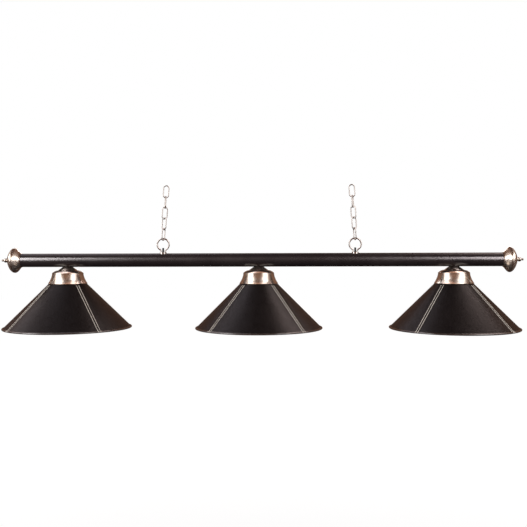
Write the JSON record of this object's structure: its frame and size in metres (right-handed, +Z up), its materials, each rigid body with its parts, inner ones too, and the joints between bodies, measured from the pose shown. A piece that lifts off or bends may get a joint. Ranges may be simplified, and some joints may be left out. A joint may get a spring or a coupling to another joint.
{
  "type": "pool table lamp",
  "caption": "Hanging billiard table lamp: a long round bar on two chains carries cone shades covered in stitched black leather, with satin nickel fitters, flared end caps and small finials.",
  "frame": {"origin": "middle of the lamp, level with the bottom of the shade rims and below the bar's centre", "axes": "+X along the bar to the right as seen from the front, +Y to the back, +Z up along the shades' axes"},
  "size_m": [1.4626, 0.3556, 0.4023],
  "materials": {
    "black_satin": "satin black enamel on a steel tube",
    "nickel": "satin nickel plate, finely brushed round the axis",
    "nickel_polished": "bright nickel plate",
    "chain_nickel": "nickel-plated steel wire",
    "zinc_steel": "zinc-plated steel",
    "brass_plain": "plain turned brass",
    "black_plastic": "black moulded plastic",
    "socket_phenolic": "black moulded phenolic",
    "white_enamel": "white reflector enamel inside a steel cone",
    "black_leather": "black grained leather, stitched in panels",
    "cream_thread": "cream waxed thread",
    "white_nylon": "natural nylon",
    "black_insulation": "black wire insulation",
    "white_insulation": "white wire insulation"
  },
  "bodies": {
    "ceiling_links": {"left_link_5": "chain_nickel", "right_link_5": "chain_nickel"},
    "left_link_4": {"left_link_4": "chain_nickel"},
    "left_chain": {"left_link_3": "chain_nickel", "left_link_2": "chain_nickel", "left_link_1": "chain_nickel"},
    "right_link_4": {"right_link_4": "chain_nickel"},
    "right_chain": {"right_link_3": "chain_nickel", "right_link_2": "chain_nickel", "right_link_1": "chain_nickel"},
    "lamp": {"bar_tube": "black_satin", "left_end_cap": "nickel", "left_finial": "nickel_polished", "left_end_plug": "zinc_steel", "left_end_stud": "zinc_steel", "left_hanger_loop": "chain_nickel", "left_wire_sleeve": "black_plastic", "right_end_cap": "nickel", "right_finial": "nickel_polished", "right_end_plug": "zinc_steel", "right_end_stud": "zinc_steel", "right_hanger_loop": "chain_nickel", "right_wire_sleeve": "black_plastic", "hanger_nuts": "zinc_steel", "left_neck_cap": "nickel", "left_fitter_cup": "nickel", "left_nipple": "brass_plain", "left_socket_body": "socket_phenolic", "left_screw_shell": "brass_plain", "left_centre_contact": "brass_plain", "left_shade_ring": "socket_phenolic", "centre_neck_cap": "nickel", "centre_fitter_cup": "nickel", "centre_nipple": "brass_plain", "centre_socket_body": "socket_phenolic", "centre_screw_shell": "brass_plain", "centre_centre_contact": "brass_plain", "centre_shade_ring": "socket_phenolic", "right_neck_cap": "nickel", "right_fitter_cup": "nickel", "right_nipple": "brass_plain", "right_socket_body": "socket_phenolic", "right_screw_shell": "brass_plain", "right_centre_contact": "brass_plain", "right_shade_ring": "socket_phenolic", "nipple_nuts": "brass_plain", "terminal_block": "white_nylon", "terminal_screws": "brass_plain", "black_leads": "black_insulation", "white_leads": "white_insulation"},
    "left_shade": {"left_shade_cone": "white_enamel", "left_leather_cover": "black_leather"},
    "centre_shade": {"centre_shade_cone": "white_enamel", "centre_leather_cover": "black_leather"},
    "right_shade": {"right_shade_cone": "white_enamel", "right_leather_cover": "black_leather"}
  },
  "joints": [
    {"name": "fore_aft_swing", "type": "hinge", "parent": "ceiling_links", "child": "left_link_4", "pos_m": [-0.26115, 0, 0.36754], "axis": [1, 0, 0], "range_deg": [-20, 20]},
    {"name": "side_swing", "type": "hinge", "parent": "left_link_4", "child": "left_chain", "pos_m": [-0.26311, 0, 0.33761], "axis": [0, 1, 0], "range_deg": [-12, 12]},
    {"name": "bar_level", "type": "hinge", "parent": "left_chain", "child": "lamp", "pos_m": [-0.269, 0, 0.2478], "axis": [0, 1, 0], "range_deg": [-12.5, 12.5]},
    {"name": "right_fore_aft_swing", "type": "hinge", "parent": "ceiling_links", "child": "right_link_4", "pos_m": [0.26115, 0, 0.36754], "axis": [1, 0, 0], "range_deg": [-20.5, 20.5]},
    {"name": "right_side_swing", "type": "hinge", "parent": "right_link_4", "child": "right_chain", "pos_m": [0.26311, 0, 0.33761], "axis": [0, 1, 0], "range_deg": [-12.5, 12.5]},
    {"name": "left_shade_turn", "type": "hinge", "parent": "lamp", "child": "left_shade", "pos_m": [-0.541, 0, 0.14], "axis": [0, 0, 1], "continuous": true},
    {"name": "centre_shade_turn", "type": "hinge", "parent": "lamp", "child": "centre_shade", "pos_m": [0, 0, 0.14], "axis": [0, 0, 1], "continuous": true},
    {"name": "right_shade_turn", "type": "hinge", "parent": "lamp", "child": "right_shade", "pos_m": [0.541, 0, 0.14], "axis": [0, 0, 1], "continuous": true}
  ],
  "couplings": [
    {"joint": "bar_level", "follows": "side_swing", "ratio": -0.97812},
    {"joint": "right_fore_aft_swing", "follows": "fore_aft_swing", "ratio": 1},
    {"joint": "right_side_swing", "follows": "side_swing", "ratio": 1}
  ]
}
